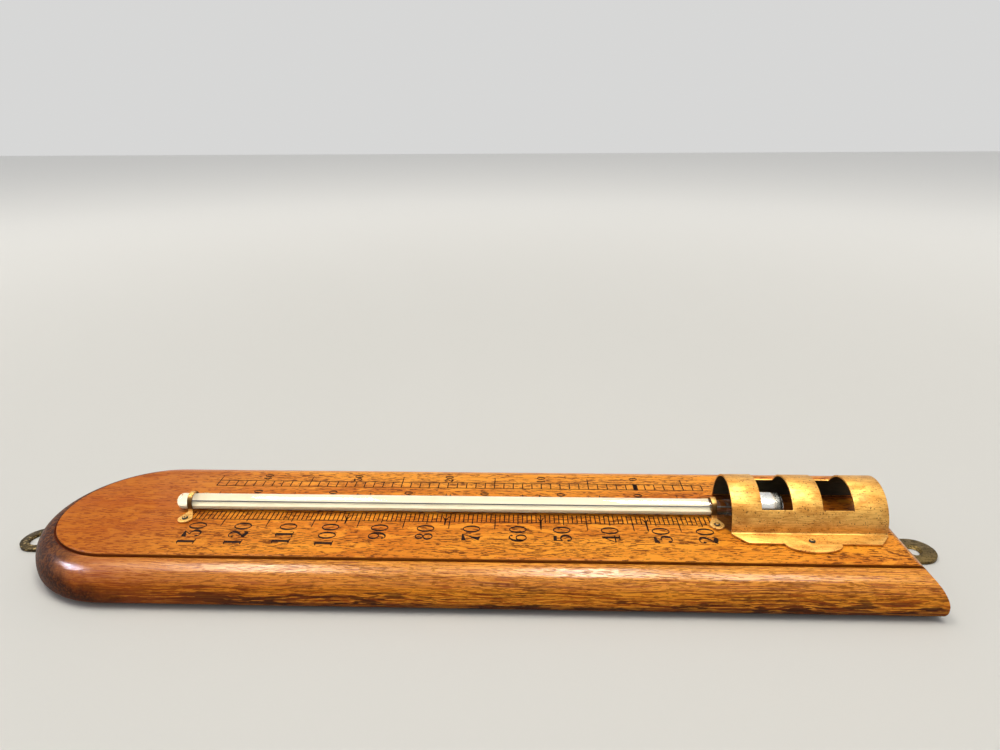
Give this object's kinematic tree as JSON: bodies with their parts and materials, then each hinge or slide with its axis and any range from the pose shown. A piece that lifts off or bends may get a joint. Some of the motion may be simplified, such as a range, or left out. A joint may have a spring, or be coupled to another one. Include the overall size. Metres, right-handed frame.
{
  "type": "wall thermometer",
  "caption": "Arched oak wall thermometer: raised dial panel, enamel-backed mercury tube under brass straps, windowed brass bulb guard and brass hanging plates.",
  "frame": {"origin": "under the middle of the whole object, plates included, on the plane of the plates' backs", "axes": "+X from the arched top end to the bottom end with the bulb, +Y across the board, +Z out of the dial"},
  "size_m": [0.4624, 0.1024, 0.0405],
  "materials": {
    "oak": "amber varnished oak with dark pores",
    "lacquered_brass": "golden lacquered brass, lightly spotted",
    "aged_brass": "dull brown aged brass",
    "tube_glass": "clear blown glass",
    "white_enamel": "glossy cream white enamel glass",
    "mercury": "bright liquid mercury",
    "scale_ink": "black engraver's wax in the cuts of the dial"
  },
  "bodies": {
    "root": {"backboard": "oak", "hanging_plate": "aged_brass", "hanging_plate_screw_1": "aged_brass", "hanging_plate_screw_2": "aged_brass", "hanging_plate_screw_3": "aged_brass", "foot_plate": "aged_brass", "foot_plate_screw_1": "aged_brass", "foot_plate_screw_2": "aged_brass", "glass_stem": "tube_glass", "enamel_strip": "white_enamel", "mercury_thread": "mercury", "glass_bulb": "tube_glass", "bulb_mercury": "mercury", "upper_strap": "lacquered_brass", "upper_strap_screw_near": "lacquered_brass", "upper_strap_screw_far": "lacquered_brass", "lower_strap": "lacquered_brass", "lower_strap_screw_near": "lacquered_brass", "lower_strap_screw_far": "lacquered_brass", "bulb_guard": "lacquered_brass", "bulb_guard_screw_near": "lacquered_brass", "bulb_guard_screw_far": "lacquered_brass"}
  },
  "joints": []
}
